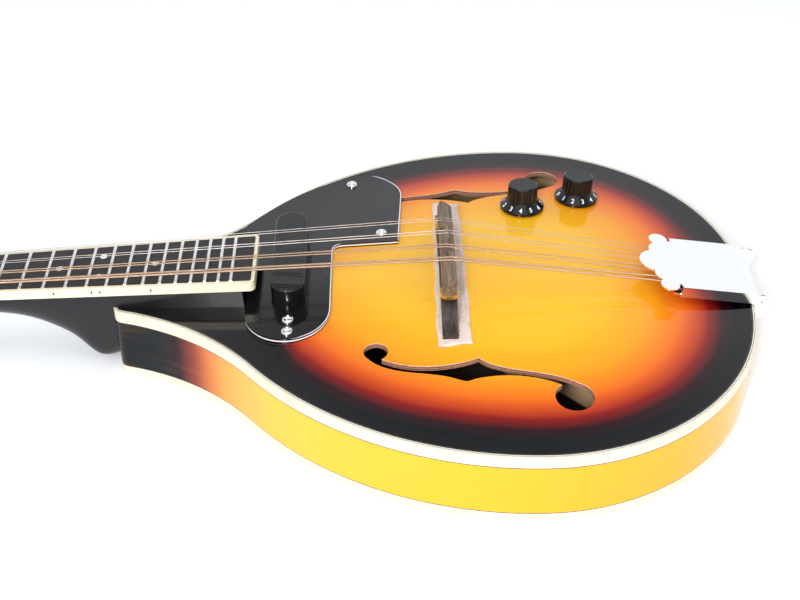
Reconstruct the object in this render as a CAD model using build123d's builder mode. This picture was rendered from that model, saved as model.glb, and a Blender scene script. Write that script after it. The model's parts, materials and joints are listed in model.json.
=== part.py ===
"""Electric A-style mandolin, in millimetres.

+X runs from the headstock to the tail, +Y to the treble side, +Z up out of the top.
The origin lies on the flat back, on the centre line, under the widest part of the body.
"""
from build123d import *
import math
import os

os.makedirs("parts", exist_ok=True)

# ---- driving dimensions ------------------------------------------------------------------

# Body
TAIL_X = 118.7                      # tail end of the body on the centre line
BODY_DEPTH = 42.6                   # back face to the rim plane of the top
# Outer edge from the tail to the neck as tangent arcs: radius, turn (minus turns back)
BODY_ARCS = ((188.0, 11.1), (122.0, 78.1), (184.0, 51.1), (136.0, -35.6), (6.0, 75.3))
BINDING = 2.0                       # thickness of the body binding, and of the rim
TOP_BINDING_HEIGHT = 6.8
BACK_BINDING_HEIGHT = 5.5
PURFLING = 0.5
TOP_THICKNESS = 3.0
BACK_THICKNESS = 2.8
LINING_WIDTH = 5.0
LINING_HEIGHT = 8.0
# Arch of the top: an egg-shaped bump, flat where it meets the rim
ARCH_HEIGHT = 7.0
ARCH_TO_NECK = 215.0
ARCH_TO_TAIL = 116.0
ARCH_HALF_WIDTH = 130.0
ARCH_TAPER = 0.55

# Neck and fretboard
NUT_X = -400.0                      # fretboard side of the nut
SCALE_LENGTH = 353.6
NECK_ANGLE = 3.39
CROWN_RISE = 3.8                    # fret crowns above the rim plane, at the nut
FRET_COUNT = 20
FRET_WIDTH = 1.9
FRET_HEIGHT = 1.0
TANG_WIDTH = 0.55
TANG_DEPTH = 1.4
BOARD_THICKNESS = 5.5
BOARD_LENGTH = 252.8
BOARD_HALF_NUT = 12.2               # half width without binding, at the nut
BOARD_SPREAD = 0.0315               # how much it grows for each millimetre along
BOARD_BINDING = 1.8
MARKER_FRETS = (3, 5, 7, 10, 15)
MARKER_R = 2.0
NUT_WIDTH = 5.0
RISER_END = 247.5                   # length from the nut to the end of the neck extension
# Neck sections: distance from the nut, half width, depth, squareness of the curve
NECK_SECTIONS = ((-26, 22.0, 9.0, 2.6), (-12, 16.5, 13.5, 2.4), (4, 14.1, 14.6, 2.1),
                 (60, 15.9, 15.0, 2.1), (118, 17.7, 16.4, 2.2), (141, 18.4, 24.6, 2.8),
                 (150, 18.7, 30.6, 3.3), (157, 18.9, 38.2, 3.8), (163, 19.0, 46.4, 4.4),
                 (170, 19.1, 49.2, 4.8), (179.4, 19.2, 49.6, 5.0))
HEEL_TAPER = 0.30

# Headstock, set back from the neck
HEAD_TILT = 10.0
HEAD_THICKNESS = 12.5
VENEER = 1.5
POST_U = (26.0, 48.0, 70.0, 92.0)   # tuning posts from the nut end of the headstock
POST_V = 17.0                       # and from its centre line
POST_R = 3.0
POST_TOP = 13.0
POST_WAIST_R = 2.6
RUN = 0.05                          # radial clearance of every running fit
BUSH_R = 3.9
BUSH_DEPTH = 5.0
PLATE = 1.0
GEAR_R = 4.6
GEAR_THICKNESS = 3.5
GEAR_TEETH = 15
WORM_OFFSET = -6.7                  # worm shaft from its post, towards the nut
WORM_R = 2.0
WORM_SHAFT_R = 1.5
EAR_V = 5.5

# Strings: name, half spacing at the bridge, radius; wound or plain
STRINGS = (("G", 20.5, 0.50), ("G", 18.0, 0.50), ("D", 8.0, 0.33), ("D", 5.5, 0.33),
           ("A", -5.5, 0.19), ("A", -8.0, 0.19), ("E", -18.0, 0.14), ("E", -20.5, 0.14))
BRIDGE_SPACING = 0.955
NUT_SPACING = 0.564
ACTION_NUT = 0.5
SADDLE_S = 354.7                    # crest of the saddle from the nut
SADDLE_TOP = 29.2                   # strings above the rim plane at the saddle

# Bridge
BRIDGE_HALF = 54.0
SADDLE_HALF = 35.5
SADDLE_WIDTH = 7.5
BASE_WIDTH = 8.0
STUD_Y = 31.0
STUD_R = 1.75
WHEEL_R = 5.0
WHEEL_HEIGHT = 2.6
SADDLE_TRAVEL = 1.5
FOAM = 1.0

# Pickguard, pickup, controls
GUARD = 2.5
PICKUP_X = -129.0
PICKUP_Y = 7.8
PICKUP_LENGTH = 73.0
PICKUP_WIDTH = 17.6
PICKUP_HEIGHT = 12.0
KNOBS = (("volume", 1.3, 66.3), ("tone", 34.0, 78.0))
KNOB_SKIRT_R = 12.5
KNOB_GRIP_R = 8.6
KNOB_HEIGHT = 14.5
KNOB_GAP = 1.0
SHAFT_R = 3.0
BUSHING_R = 3.5
POT_R = 8.0
POT_HEIGHT = 8.5

# Tailpiece
COVER_TOP = 15.2                    # front of the cover above the rim plane
COVER_FRONT_X = 58.0
COVER_SLOPE = 7.3
COVER_HALF = 22.3
COVER_SHEET = 0.8
COVER_WALL = 6.3
HINGE_X = TAIL_X + 4.0
HINGE_Z = BODY_DEPTH + 1.6
PIN_R = 1.45
HOOK_X = 84.0


# ---- shared geometry ---------------------------------------------------------------------

def arch(x, y):
    """Height of the top above its rim plane."""
    reach = ARCH_TO_NECK if x < 0 else ARCH_TO_TAIL
    taper = ARCH_TAPER * (x / reach) ** 2 if x < 0 else 0
    half = ARCH_HALF_WIDTH * (1 - taper)
    e = (x / reach) ** 2 + (y / half) ** 2
    return ARCH_HEIGHT * (1 - e) ** 2 if e < 1 and abs(x) < reach else 0.0


def arch_normal(x, y):
    """Upward unit normal of the top at (x, y)."""
    d = 0.5
    slope_x = (arch(x + d, y) - arch(x - d, y)) / (2 * d)
    slope_y = (arch(x, y + d) - arch(x, y - d)) / (2 * d)
    return Vector(-slope_x, -slope_y, 1).normalized()


GRID_STEP = 8
ARCH_GRID = [[Vector(x, y, BODY_DEPTH + arch(x, y)) for x in range(-248, 149, GRID_STEP)]
             for y in range(-152, 153, GRID_STEP)]
ARCH_FACE = Face.make_surface_from_array_of_points(ARCH_GRID, tol=0.01)


def arch_slab(low, high):
    """Solid sheet that follows the arch, from low to high above the top's outer face."""
    return Solid.extrude(Pos(0, 0, low) * ARCH_FACE, Vector(0, 0, high - low))


def body_face(inset=0.0):
    """Flat outline of the body, inset from its outer edge."""
    with BuildSketch() as outline:
        with BuildLine():
            start = (TAIL_X, 0)
            tangent = (0, 1)
            for radius, turn in BODY_ARCS:
                arc = JernArc(start, tangent, radius, turn)
                start = arc @ 1
                tangent = arc % 1
            Line(start, (start.X, 0))
            mirror(about=Plane.XZ)
        make_face()
        if inset:
            offset(amount=-inset, kind=Kind.INTERSECTION)
    return outline.sketch


BODY_END_X = body_face().bounding_box().min.X


def body_ring(z, height, outer, inner):
    """Hoop that follows the body between two insets."""
    with BuildPart() as ring:
        with BuildSketch(Plane.XY.offset(z)):
            add(body_face(outer))
            add(body_face(inner), mode=Mode.SUBTRACT)
        extrude(amount=height)
    return ring.part


TAN_NECK = math.tan(math.radians(NECK_ANGLE))
COS_NECK = math.cos(math.radians(NECK_ANGLE))


def crown_z(s):
    return BODY_DEPTH + CROWN_RISE + s * TAN_NECK


def neck_top_z(s):
    return crown_z(s) - (FRET_HEIGHT + BOARD_THICKNESS) / COS_NECK


def string_z(s):
    """Height of the string line, s from the nut, between nut and saddle."""
    at_nut = crown_z(0) + ACTION_NUT
    return at_nut + (BODY_DEPTH + SADDLE_TOP - at_nut) * s / SADDLE_S


def neck_plane(height=0.0):
    """Plane of the neck's top face, x along the neck from the nut, raised by height."""
    up = Vector(-math.sin(math.radians(NECK_ANGLE)), 0, COS_NECK)
    return Plane(Vector(NUT_X, 0, neck_top_z(0)) + up * height,
                 x_dir=(up.Z, 0, -up.X), z_dir=up)


def board_half(u):
    return BOARD_HALF_NUT + BOARD_SPREAD * u


def fret_u(n):
    return SCALE_LENGTH * (1 - 2 ** (-n / 12))


def between_frets(n):
    return (fret_u(n - 1) + fret_u(n)) / 2


HEAD_U = Vector(-math.cos(math.radians(HEAD_TILT)), 0, -math.sin(math.radians(HEAD_TILT)))
HEAD_W = Vector(HEAD_U.Z, 0, -HEAD_U.X)
HEAD_ORIGIN = Vector(NUT_X - NUT_WIDTH, 0, neck_top_z(-NUT_WIDTH)) - HEAD_W * VENEER


def head_plane(w=0.0):
    """Plane parallel to the headstock's wooden face; x runs to its tip, y to the bass side."""
    return Plane(HEAD_ORIGIN + HEAD_W * w, x_dir=HEAD_U, z_dir=HEAD_W)


def head_point(u, v, w):
    """Point of the headstock; v is +Y, the treble side."""
    return HEAD_ORIGIN + HEAD_U * u + Vector(0, v, 0) + HEAD_W * w


def head_face():
    """Outline of the headstock, seen from the front."""
    with BuildSketch() as outline:
        with BuildLine():
            flare = Spline((-1, 14.0), (6, 18.0), (14, 26.5), tangents=((1, 0.1), (1, 0.35)))
            side = Line(flare @ 1, (106, 30.5))
            crown = Spline(side @ 1, (122, 20), (134, 10), (138, 0),
                           tangents=((0.6, -1), (0, -1)))
            mirror(about=Plane.XZ)
            Line((-1, 14.0), (-1, -14.0))
        make_face()
    return outline.sketch


def control_plane(x, y):
    """Plane on the top at (x, y), square to its surface."""
    return Plane((x, y, BODY_DEPTH + arch(x, y)), x_dir=(1, 0, 0), z_dir=arch_normal(x, y))


def cover_plane(height=0.0):
    """Plane of the tailpiece cover's top face; x runs from its front to the tail."""
    angle = math.radians(COVER_SLOPE)
    up = Vector(math.sin(angle), 0, math.cos(angle))
    return Plane(Vector(COVER_FRONT_X, 0, BODY_DEPTH + COVER_TOP) + up * height,
                 x_dir=(up.Z, 0, -up.X), z_dir=up)


def rod(start, end, radius, inner=0.0):
    """Round rod, or tube, between two points."""
    way = Vector(end) - Vector(start)
    with BuildPart() as piece:
        with BuildSketch(Plane(start, z_dir=way)):
            Circle(radius)
            if inner:
                Circle(inner, mode=Mode.SUBTRACT)
        extrude(amount=way.length)
    return piece.part


def turned(base, points):
    """Solid of revolution about a plane's normal; points are (radius, height)."""
    side = Plane(base.origin, x_dir=base.x_dir, z_dir=-base.y_dir)
    with BuildPart() as piece:
        with BuildSketch(side):
            Polygon(*points, align=None)
        revolve(axis=Axis(base.origin, base.z_dir))
    return piece.part


def screw(base, head_r, head_height, shank_r, length):
    """Domed cross-head screw standing on a plane, its shank below it."""
    with BuildPart() as piece:
        with BuildSketch(base):
            Circle(head_r)
        extrude(amount=head_height)
        fillet(piece.edges().sort_by(Axis(base.origin, base.z_dir))[-1], head_height * 0.7)
        with BuildSketch(base):
            Circle(shank_r)
        extrude(amount=-length)
        with BuildSketch(base.offset(head_height * 0.45)):
            Rectangle(head_r * 1.1, head_r * 0.24)
            Rectangle(head_r * 0.24, head_r * 1.1)
        extrude(amount=head_height, mode=Mode.SUBTRACT)
    return piece.part


def finish(part, label):
    part.label = label
    export_step(part, f"parts/{label}.step")


# ---- body --------------------------------------------------------------------------------

RIM_LOW = BACK_BINDING_HEIGHT + PURFLING
RIM_HIGH = BODY_DEPTH - TOP_BINDING_HEIGHT - PURFLING
PLATE_LOW = BODY_DEPTH - TOP_THICKNESS
GLUE_LINE = 0.05
TENON_WIDTH = 18.0
TENON_LENGTH = 22.0
TENON_LOW = 8.0
BLOCK_LENGTH = 42.0
TAIL_BLOCK_LENGTH = 14.0
TAIL_BLOCK_HALF = 28.0
JACK_ANGLE = 50.0                   # turn from the tail direction towards the treble side
JACK_Z = 21.0
JACK_BODY_R = 5.0
JACK_BORE_R = 3.2


def jack_plane():
    """Plane on the rim at the output jack, z out of the body."""
    way = Vector(math.cos(math.radians(JACK_ANGLE)), math.sin(math.radians(JACK_ANGLE)), 0)
    arcs = [edge for edge in body_face().edges() if edge.center().Y > 0
            and abs(edge.radius - BODY_ARCS[1][0]) < 0.01]
    centre = arcs[0].arc_center
    return Plane(Vector(centre.X, centre.Y, JACK_Z) + way * BODY_ARCS[1][0],
                 x_dir=(0, 0, 1), z_dir=way)


GUARD_SCREWS = ((-128.5, -36.6), (-128.5, -45.6), (-97.0, 93.0), (-79.8, 37.2))
TAB_SCREW_Z = BODY_DEPTH - 13.0
TAB = 1.2

with BuildPart() as body_screws:
    for x, y in GUARD_SCREWS:
        add(screw(control_plane(x, y).offset(GUARD + 0.03), 3.1, 1.7, 1.2, GUARD + 2.6))
    add(screw(Plane((TAIL_X + 0.1 + TAB, 0, TAB_SCREW_Z), x_dir=(0, 1, 0), z_dir=(1, 0, 0)),
              3.2, 1.8, 1.6, 11.0))
finish(body_screws.part, "body_screws")

with BuildPart() as rim:
    add(body_ring(RIM_LOW, RIM_HIGH - RIM_LOW, 0, BINDING))
    with BuildSketch(Plane.XY.offset(TENON_LOW)):
        with Locations((BODY_END_X, 0)):
            Rectangle(4 * BINDING, TENON_WIDTH)
    extrude(amount=RIM_HIGH - TENON_LOW, mode=Mode.SUBTRACT)
    with BuildSketch(jack_plane()):
        Circle(JACK_BODY_R)
    extrude(amount=3 * BINDING, both=True, mode=Mode.SUBTRACT)
    add(body_screws.part, mode=Mode.SUBTRACT)
finish(rim.part, "rim")

with BuildPart() as top_binding:
    add(body_ring(BODY_DEPTH - TOP_BINDING_HEIGHT, TOP_BINDING_HEIGHT, 0, BINDING))
finish(top_binding.part, "top_binding")

with BuildPart() as back_binding:
    add(body_ring(0, BACK_BINDING_HEIGHT, 0, BINDING))
finish(back_binding.part, "back_binding")

with BuildPart() as purfling:
    add(body_ring(BACK_BINDING_HEIGHT, PURFLING, 0, BINDING))
    add(body_ring(RIM_HIGH, PURFLING, 0, BINDING))
    add(body_ring(PLATE_LOW, TOP_THICKNESS, BINDING, BINDING + PURFLING))
finish(purfling.part, "purfling")

with BuildPart() as back_plate:
    with BuildSketch():
        add(body_face(BINDING))
    extrude(amount=BACK_THICKNESS)
finish(back_plate.part, "back_plate")


def f_hole():
    """Sound hole on the bass side: two eyes joined by a slot that narrows to each end."""
    with BuildSketch() as hole:
        with Locations((-83.3, -60.3)):
            Circle(6.2)
        with Locations((13.3, -94.0)):
            Circle(9.6)
        with BuildLine():
            inner = Spline((-81.5, -65.0), (-66.5, -70.9), (-49.0, -71.4), (-36.0, -68.4))
            Line(inner @ 1, (-31.8, -66.6))
            tip = Line((-31.8, -66.6), (-28.6, -69.6))
            inner_low = Spline(tip @ 1, (-9.9, -76.0), (8.0, -80.6), (19.0, -87.5),
                               (22.6, -96.0))
            Line(inner_low @ 1, (14.0, -92.0))
            back = Line((14.0, -92.0), (8.0, -86.2))
            outer_low = Spline(back @ 1, (-3.1, -81.6), (-17.0, -79.4), (-34.0, -81.3))
            Line(outer_low @ 1, (-38.4, -83.0))
            outer_tip = Line((-38.4, -83.0), (-42.0, -81.8))
            outer = Spline(outer_tip @ 1, (-57.5, -77.2), (-75.7, -73.2), (-86.0, -66.6),
                           (-89.4, -60.6))
            Line(outer @ 1, (-83.3, -60.3))
            Line((-83.3, -60.3), inner @ 0)
        make_face()
    return hole.sketch


TREBLE_HOLE_SHIFT = (2.5, 6.5)      # the two sound holes aren't quite mirror images

with BuildPart() as top_plate:
    add(arch_slab(-TOP_THICKNESS, 0))
    with BuildSketch(Plane.XY.offset(PLATE_LOW - TOP_THICKNESS)):
        add(body_face(BINDING + PURFLING))
    extrude(amount=3 * ARCH_HEIGHT, mode=Mode.INTERSECT)
    with BuildSketch(Plane.XY.offset(PLATE_LOW - TOP_THICKNESS)):
        add(f_hole())
        add(Pos(*TREBLE_HOLE_SHIFT) * mirror(f_hole(), about=Plane.XZ, mode=Mode.PRIVATE))
    extrude(amount=3 * ARCH_HEIGHT, mode=Mode.SUBTRACT)
    for name, x, y in KNOBS:
        with BuildSketch(control_plane(x, y)):
            Circle(BUSHING_R)
        extrude(amount=3 * TOP_THICKNESS, both=True, mode=Mode.SUBTRACT)
    with BuildSketch(Plane.XY.offset(PLATE_LOW)):
        with Locations((PICKUP_X, PICKUP_Y)):
            SlotOverall(PICKUP_LENGTH - 6, PICKUP_WIDTH - 5, rotation=90)
    extrude(amount=3 * ARCH_HEIGHT, mode=Mode.SUBTRACT)
    add(body_screws.part, mode=Mode.SUBTRACT)
finish(top_plate.part, "top_plate")

with BuildPart() as neck_block:
    with BuildSketch(Plane.XY.offset(BACK_THICKNESS)):
        add(body_face(BINDING))
        with Locations((BODY_END_X + BLOCK_LENGTH / 2, 0)):
            Rectangle(BLOCK_LENGTH, 80, mode=Mode.INTERSECT)
    extrude(amount=PLATE_LOW - GLUE_LINE - BACK_THICKNESS)
    with BuildSketch(Plane.XY.offset(TENON_LOW)):
        with Locations((BODY_END_X, 0)):
            Rectangle(2 * TENON_LENGTH, TENON_WIDTH)
    extrude(amount=RIM_HIGH - TENON_LOW, mode=Mode.SUBTRACT)
finish(neck_block.part, "neck_block")

with BuildPart() as tail_block:
    with BuildSketch(Plane.XY.offset(BACK_THICKNESS)):
        add(body_face(BINDING))
        with Locations((TAIL_X - TAIL_BLOCK_LENGTH / 2, 0)):
            Rectangle(TAIL_BLOCK_LENGTH, 2 * TAIL_BLOCK_HALF, mode=Mode.INTERSECT)
    extrude(amount=PLATE_LOW - GLUE_LINE - BACK_THICKNESS)
    add(body_screws.part, mode=Mode.SUBTRACT)
finish(tail_block.part, "tail_block")

with BuildPart() as linings:
    lining_in = BINDING + LINING_WIDTH
    add(body_ring(BACK_THICKNESS, LINING_HEIGHT, BINDING, lining_in))
    add(body_ring(PLATE_LOW - GLUE_LINE - LINING_HEIGHT, LINING_HEIGHT, BINDING, lining_in))
    with BuildSketch():
        with Locations((BODY_END_X + BLOCK_LENGTH / 2, 0)):
            Rectangle(BLOCK_LENGTH, 90)
        with Locations((TAIL_X - TAIL_BLOCK_LENGTH / 2, 0)):
            Rectangle(TAIL_BLOCK_LENGTH, 2 * TAIL_BLOCK_HALF)
    extrude(amount=BODY_DEPTH, mode=Mode.SUBTRACT)
finish(linings.part, "linings")

BRACE_HEIGHT = 9.0
BRACE_WIDTH = 6.0
with BuildPart() as braces:
    # Two tone bars under the top, splayed towards the tail
    add(arch_slab(-TOP_THICKNESS - BRACE_HEIGHT, -TOP_THICKNESS - GLUE_LINE))
    with BuildSketch(Plane.XY):
        for side in (-1, 1):
            with Locations(Location((-32, side * 32, 0), (0, 0, side * 4))):
                Rectangle(176, BRACE_WIDTH)
    extrude(amount=2 * BODY_DEPTH, mode=Mode.INTERSECT)
    # Cross bars on the back
    for x, half in ((-110, 66), (-10, 122), (70, 90)):
        with BuildSketch(Plane.XY.offset(BACK_THICKNESS)):
            with Locations((x, 0)):
                Rectangle(8, 2 * half)
        extrude(amount=BRACE_HEIGHT)
finish(braces.part, "braces")

# ---- neck and fretboard ------------------------------------------------------------------

ROD_R = 2.4
ROD_SLOT = 6.0
ROD_DEPTH = 8.0
ROD_END = 165.0
HEAD_POCKET = 20.0
POCKET_DEPTH = 5.6


def neck_section(s, half, depth, squareness):
    """Cross-section of the neck, square to X: flat top, rounded underside."""
    head_drop = max(0.0, -NUT_WIDTH - s) * math.tan(math.radians(HEAD_TILT))
    top = neck_top_z(max(s, -NUT_WIDTH)) - head_drop
    taper = HEEL_TAPER * max(0.0, squareness - 2.2) / 2.8
    points = []
    for step in range(1, 12):
        turn = math.pi * step / 12
        down = abs(math.sin(turn)) ** (2 / squareness)
        across = math.copysign(abs(math.cos(turn)) ** (2 / squareness), math.cos(turn))
        points.append((half * across * (1 - taper * down), -depth * down))
    with BuildSketch(Plane((NUT_X + s, 0, top), x_dir=(0, 1, 0), z_dir=(1, 0, 0))) as section:
        with BuildLine():
            Line((half, 0), (half, 0.8))
            Line((half, 0.8), (-half, 0.8))
            Line((-half, 0.8), (-half, 0))
            Spline((-half, 0), *reversed(points), (half, 0), tangents=((0, -1), (0, 1)))
        make_face()
    return section.sketch


BUTTON_V = 33.0
WORM_W = -HEAD_THICKNESS - PLATE - 0.4 - GEAR_THICKNESS / 2
EAR_REACH = 5.0
COVER_SCREWS = ((5.5, 0), (27.5, -5.5), (27.5, 5.5))
ROD_COVER = 1.5

PLATE_SCREWS_U = (15.0, 59.0, 95.0)
PLATE_LOW_V = 9.5
PLATE_HIGH_V = 25.0

with BuildPart() as headstock_screws:
    for u, v in COVER_SCREWS:
        face = Plane(head_point(u, v, VENEER + ROD_COVER), x_dir=HEAD_U, z_dir=HEAD_W)
        add(screw(face, 1.6, 0.9, 0.7, 2.6))
    for u in PLATE_SCREWS_U:
        for side in (-1, 1):
            spot = head_point(u, side * (PLATE_HIGH_V - 2.4), -HEAD_THICKNESS - PLATE)
            add(screw(Plane(spot, x_dir=HEAD_U, z_dir=-HEAD_W), 1.7, 1.0, 0.8, 7.0))
finish(headstock_screws.part, "headstock_screws")

with BuildPart() as neck:
    for row in NECK_SECTIONS:
        add(neck_section(*row))
    loft()
    with BuildSketch(Plane.YZ.offset(BODY_END_X)):
        Rectangle(80, 400)
    extrude(amount=20, mode=Mode.SUBTRACT)
    with BuildSketch(Plane((BODY_END_X - 1, 0, TENON_LOW), x_dir=(0, 1, 0), z_dir=(1, 0, 0))):
        Rectangle(TENON_WIDTH, RIM_HIGH - TENON_LOW, align=(Align.CENTER, Align.MIN))
    extrude(amount=TENON_LENGTH + 1)
    with BuildSketch(head_plane(-HEAD_THICKNESS)):
        add(head_face())
    extrude(amount=HEAD_THICKNESS)
    # Flat faces for the fretboard, the nut and the veneer
    with BuildSketch(neck_plane()):
        with Locations((-NUT_WIDTH, 0)):
            Rectangle(220, 80, align=(Align.MIN, Align.CENTER))
    extrude(amount=20, mode=Mode.SUBTRACT)
    with BuildSketch(head_plane()):
        Rectangle(160, 80, align=(Align.MIN, Align.CENTER))
    extrude(amount=30, mode=Mode.SUBTRACT)
    with BuildSketch(neck_plane()):
        with Locations((-NUT_WIDTH - 1, 0)):
            Rectangle(ROD_END + NUT_WIDTH + 1, ROD_SLOT, align=(Align.MIN, Align.CENTER))
    extrude(amount=-ROD_DEPTH, mode=Mode.SUBTRACT)
    with BuildSketch(head_plane()):
        Rectangle(HEAD_POCKET, ROD_SLOT + 2, align=(Align.MIN, Align.CENTER))
    extrude(amount=-POCKET_DEPTH, mode=Mode.SUBTRACT)
    for u in POST_U:
        for v in (-POST_V, POST_V):
            with BuildSketch(head_plane()):
                with Locations((u, v)):
                    Circle(BUSH_R)
            extrude(amount=-BUSH_DEPTH, mode=Mode.SUBTRACT)
            with BuildSketch(head_plane()):
                with Locations((u, v)):
                    Circle(POST_R + 0.3)
            extrude(amount=-HEAD_THICKNESS - 5, mode=Mode.SUBTRACT)
    add(headstock_screws.part, mode=Mode.SUBTRACT)
finish(neck.part, "neck")

with BuildPart() as truss_rod:
    with BuildSketch(Plane(neck_plane(-ROD_DEPTH / 2 - 0.6).location.position,
                           z_dir=neck_plane().x_dir)):
        Circle(ROD_R)
    extrude(amount=ROD_END - 4)
finish(truss_rod.part, "truss_rod")


def wire_plane(u):
    """Plane across the board at u, x along the neck and y up."""
    board = neck_plane(BOARD_THICKNESS)
    return Plane(board.from_local_coords((u, 0, 0)), x_dir=board.x_dir, z_dir=(0, -1, 0))


with BuildPart() as frets:
    for n in range(1, FRET_COUNT + 1):
        with BuildSketch(wire_plane(fret_u(n))):
            with BuildLine():
                Line((-FRET_WIDTH / 2, 0), (FRET_WIDTH / 2, 0))
                ThreePointArc((FRET_WIDTH / 2, 0), (0, FRET_HEIGHT), (-FRET_WIDTH / 2, 0))
            make_face()
            Rectangle(TANG_WIDTH, TANG_DEPTH, align=(Align.CENTER, Align.MAX))
        extrude(amount=board_half(fret_u(n)) - 0.1, both=True)
finish(frets.part, "frets")

with BuildPart() as fret_markers:
    dots = [(between_frets(n), 0) for n in MARKER_FRETS]
    dots += [(between_frets(12), side * board_half(fret_u(12)) / 2) for side in (-1, 1)]
    with BuildSketch(neck_plane(BOARD_THICKNESS)):
        with Locations(*dots):
            Circle(MARKER_R)
    extrude(amount=-TANG_DEPTH)
finish(fret_markers.part, "fret_markers")


def board_shape(grow, length, corner):
    """Tapering outline of the fretboard, widened by grow."""
    with BuildSketch() as shape:
        near = board_half(0) + grow
        far = board_half(length) + grow
        Polygon((0, -near), (length, -far), (length, far), (0, near), align=None)
        if corner:
            fillet(shape.vertices().group_by(Axis.X)[-1], corner)
    return shape.sketch


with BuildPart() as fretboard:
    with BuildSketch(neck_plane()):
        add(board_shape(0, BOARD_LENGTH, 1.2))
    extrude(amount=BOARD_THICKNESS)
    add(frets.part, mode=Mode.SUBTRACT)
    add(fret_markers.part, mode=Mode.SUBTRACT)
finish(fretboard.part, "fretboard")

with BuildPart() as side_dots:
    for u in [between_frets(n) for n in MARKER_FRETS] + [between_frets(12) - 2.2,
                                                        between_frets(12) + 2.2]:
        spot = neck_plane(BOARD_THICKNESS / 2).from_local_coords(
            (u, -board_half(u) - BOARD_BINDING, 0))
        with BuildSketch(Plane(spot, z_dir=(0, -1, 0))):
            Circle(0.9)
        extrude(amount=-1.2)
finish(side_dots.part, "side_dots")

with BuildPart() as fretboard_binding:
    with BuildSketch(neck_plane()):
        add(board_shape(BOARD_BINDING, BOARD_LENGTH + BOARD_BINDING, 3.0))
        add(board_shape(0, BOARD_LENGTH, 1.2), mode=Mode.SUBTRACT)
    extrude(amount=BOARD_THICKNESS)
    add(side_dots.part, mode=Mode.SUBTRACT)
finish(fretboard_binding.part, "fretboard_binding")

with BuildPart() as neck_extension:
    with BuildSketch(neck_plane()):
        near = board_half(BODY_END_X - NUT_X) + BOARD_BINDING - 0.6
        far = board_half(RISER_END) + BOARD_BINDING - 0.6
        Polygon((-NUT_X + BODY_END_X, -near), (RISER_END, -far), (RISER_END, far),
                (-NUT_X + BODY_END_X, near), align=None)
    extrude(amount=-2 * ARCH_HEIGHT)
    add(arch_slab(0, 30), mode=Mode.INTERSECT)
    add(neck.part, mode=Mode.SUBTRACT)
finish(neck_extension.part, "neck_extension")


# ---- strings -----------------------------------------------------------------------------

def string_nut(spacing, radius):
    """Centre of a string where it crosses the fretboard side of the nut."""
    return Vector(NUT_X, -spacing * NUT_SPACING, string_z(0) + radius)


def string_back(spacing, radius):
    """Where a string leaves the headstock side of the nut."""
    return string_nut(spacing, radius) + Vector(-NUT_WIDTH - 0.6, 0, -0.25)


def peg(index):
    """Tuning post of string index: four on each side, outer strings nearest the nut."""
    if index < 4:
        return POST_U[index], -POST_V
    return POST_U[7 - index], POST_V


with BuildPart() as nut:
    with BuildSketch(neck_plane()):
        Rectangle(NUT_WIDTH, 2 * (BOARD_HALF_NUT + BOARD_BINDING),
                  align=(Align.MAX, Align.CENTER))
    extrude(amount=BOARD_THICKNESS + FRET_HEIGHT + ACTION_NUT + 1.1)
    fillet(nut.edges().filter_by(Axis.Y).group_by(Axis.Z)[-1], 0.8)
    for _, spacing, radius in STRINGS:
        start = string_nut(spacing, radius)
        end = string_back(spacing, radius)
        way = (end - start).normalized()
        with BuildSketch(Plane(start - way * 2, x_dir=(0, -1, 0), z_dir=way)):
            Circle(radius + 0.06)
            Rectangle(2 * radius + 0.12, 4, align=(Align.CENTER, Align.MIN))
        extrude(amount=NUT_WIDTH + 4, mode=Mode.SUBTRACT)
finish(nut.part, "nut")


# ---- bridge ------------------------------------------------------------------------------

BRIDGE_X = NUT_X + SADDLE_S
WHEEL_TOP = BODY_DEPTH + 18.6
WHEEL_LOW = WHEEL_TOP - WHEEL_HEIGHT
BASE_TOP = WHEEL_LOW - SADDLE_TRAVEL - 0.2
CREST = BODY_DEPTH + SADDLE_TOP
STUD_TOP = WHEEL_TOP + 4.5

with BuildPart() as foam_pad:
    with BuildSketch(Plane.XY.offset(BODY_DEPTH)):
        Polygon((-52.6, -59.0), (-33.9, -57.6), (-35.4, 72.5), (-47.9, 72.5), align=None)
    extrude(amount=2 * ARCH_HEIGHT)
    add(arch_slab(0, FOAM), mode=Mode.INTERSECT)
finish(foam_pad.part, "foam_pad")

with BuildPart() as bridge_base:
    base_plane = Plane((BRIDGE_X, 0, BODY_DEPTH), x_dir=(0, 1, 0), z_dir=(1, 0, 0))
    shoulder = BASE_TOP - BODY_DEPTH
    with BuildSketch(base_plane):
        with BuildLine():
            end = Line((BRIDGE_HALF, 0), (BRIDGE_HALF, arch(BRIDGE_X, BRIDGE_HALF) + 3.2))
            slope = Spline(end @ 1, (46, 9.6), (STUD_Y + 6.5, shoulder),
                           tangents=((-1, 0.3), (-1, 0)))
            Line(slope @ 1, (0, shoulder))
            mirror(about=Plane.YZ)
            Line((BRIDGE_HALF, 0), (-BRIDGE_HALF, 0))
        make_face()
        with BuildLine():
            relief = ThreePointArc((15, 0), (0, arch(BRIDGE_X, 0) + 4.2), (-15, 0))
            Line(relief @ 1, relief @ 0)
        make_face(mode=Mode.SUBTRACT)
    extrude(amount=BASE_WIDTH / 2, both=True)
    add(arch_slab(FOAM, 40), mode=Mode.INTERSECT)
    for y in (-STUD_Y, STUD_Y):
        add(rod((BRIDGE_X, y, BASE_TOP - 4), (BRIDGE_X, y, BASE_TOP + 1), STUD_R),
            mode=Mode.SUBTRACT)
finish(bridge_base.part, "bridge_base")

with BuildPart() as bridge_studs:
    for y in (-STUD_Y, STUD_Y):
        add(rod((BRIDGE_X, y, BASE_TOP - 4), (BRIDGE_X, y, STUD_TOP), STUD_R))
finish(bridge_studs.part, "bridge_studs")

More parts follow.
